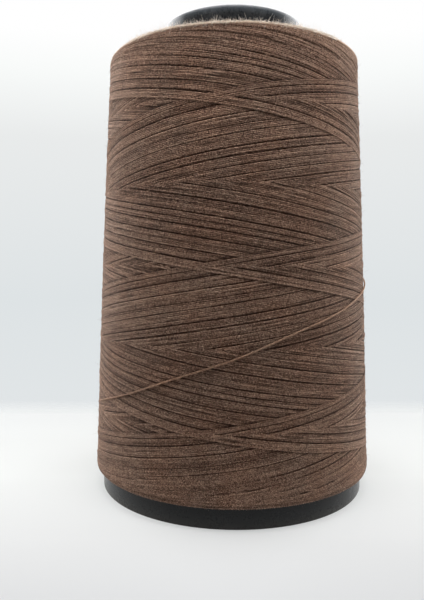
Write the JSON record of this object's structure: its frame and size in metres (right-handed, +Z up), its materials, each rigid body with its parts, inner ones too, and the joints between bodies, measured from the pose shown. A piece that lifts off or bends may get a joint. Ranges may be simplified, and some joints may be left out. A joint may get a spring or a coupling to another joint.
{
  "type": "thread cone",
  "caption": "Cone of cross-wound sewing thread on a plastic core with a rounded nose, a spindle hole and a base flange.",
  "frame": {"origin": "centre of the foot, on the surface that the cone stands on", "axes": "+Z up along the cone's axis to the nose, -Y towards the side from which the loose last turn shows"},
  "size_m": [0.0781, 0.078, 0.1254],
  "materials": {
    "core_plastic": "satin",
    "wound_thread": "matte",
    "thread_strand": "matte"
  },
  "bodies": {
    "root": {"cone_core": "core_plastic", "thread_package": "wound_thread", "outer_winding": "thread_strand", "loose_last_turn": "thread_strand"}
  },
  "joints": []
}
